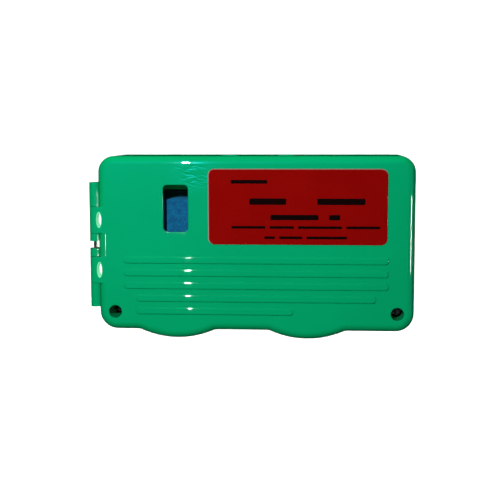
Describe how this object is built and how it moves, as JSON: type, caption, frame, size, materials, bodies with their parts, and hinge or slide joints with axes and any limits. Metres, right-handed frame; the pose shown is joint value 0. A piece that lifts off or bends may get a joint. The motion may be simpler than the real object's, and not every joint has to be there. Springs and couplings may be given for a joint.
{
  "type": "fibre optic cleaning cassette",
  "caption": "Hand-held reel cleaner for fibre connectors: green two-shell case with a tape window, label, grip ribs and an end lever that opens the cleaning slots and feeds fresh tape.",
  "frame": {"origin": "middle of the case on its flat back", "axes": "+X along the case away from the hinge, +Y towards the cleaning slots, +Z out of the front face"},
  "size_m": [0.1246, 0.0702, 0.0325],
  "materials": {
    "green_case": "moulded, satin gloss",
    "label_red": "glossy film",
    "screw_steel": "dark plated",
    "pin_steel": "bright drawn",
    "dark_plastic": "moulded, matt",
    "pale_plastic": "moulded, matt",
    "blue_tape": "fine woven tape",
    "felt": "pressed felt",
    "pad_rubber": "soft, matt"
  },
  "bodies": {
    "case": {"front_shell": "green_case", "rear_shell": "green_case", "label_plate": "label_red", "case_screws": "screw_steel", "hinge_pin": "pin_steel", "return_spring": "pin_steel", "drag_felt": "felt", "reel_cap_supply": "pale_plastic", "reel_cap_take_up": "pale_plastic", "roller_pins": "pin_steel", "pad_bridge": "dark_plastic", "cleaning_pad": "pad_rubber", "tape_run": "blue_tape", "brake_leaf": "pin_steel"},
    "lever": {"thumb_lever": "green_case"},
    "feed": {"feed_slide": "dark_plastic", "shutter": "dark_plastic", "drive_pawl": "pale_plastic"},
    "supply_reel": {"supply_hub": "dark_plastic", "supply_tape": "blue_tape"},
    "take_up_reel": {"take_up_hub": "dark_plastic", "take_up_tape": "blue_tape"},
    "roller_left": {"guide_roller_left": "pale_plastic"},
    "roller_right": {"guide_roller_right": "pale_plastic"}
  },
  "joints": [
    {"name": "lever_press", "type": "hinge", "parent": "case", "child": "lever", "pos_m": [-0.06195, -0.0006, 0.0299], "axis": [0, -1, 0], "range_deg": [0, 15], "stiffness_Nm_per_rad": 0.25, "springref_deg": -11.46},
    {"name": "feed_stroke", "type": "slide", "parent": "case", "child": "feed", "axis": [1, 0, 0], "range_m": [0, 0.0072], "deforming": ["return_spring"]},
    {"name": "take_up_turn", "type": "hinge", "parent": "case", "child": "take_up_reel", "pos_m": [0.0198, -0.0037, 0.015], "axis": [0, 0, -1], "range_deg": [0, 37]},
    {"name": "supply_turn", "type": "hinge", "parent": "case", "child": "supply_reel", "pos_m": [-0.0303, -0.0037, 0.015], "axis": [0, 0, -1], "range_deg": [0, 18]},
    {"name": "roller_left_turn", "type": "hinge", "parent": "case", "child": "roller_left", "pos_m": [-0.047, 0.0255, 0.015], "axis": [0, 0, -1], "range_deg": [0, 104]},
    {"name": "roller_right_turn", "type": "hinge", "parent": "case", "child": "roller_right", "pos_m": [0.042, 0.0255, 0.015], "axis": [0, 0, -1], "range_deg": [0, 104]}
  ],
  "couplings": [
    {"joint": "feed_stroke", "follows": "lever_press", "m_per_rad": 0.0267},
    {"joint": "take_up_turn", "follows": "lever_press", "ratio": 2.4},
    {"joint": "supply_turn", "follows": "lever_press", "ratio": 1.1538},
    {"joint": "roller_left_turn", "follows": "lever_press", "ratio": 6.857},
    {"joint": "roller_right_turn", "follows": "lever_press", "ratio": 6.857}
  ]
}
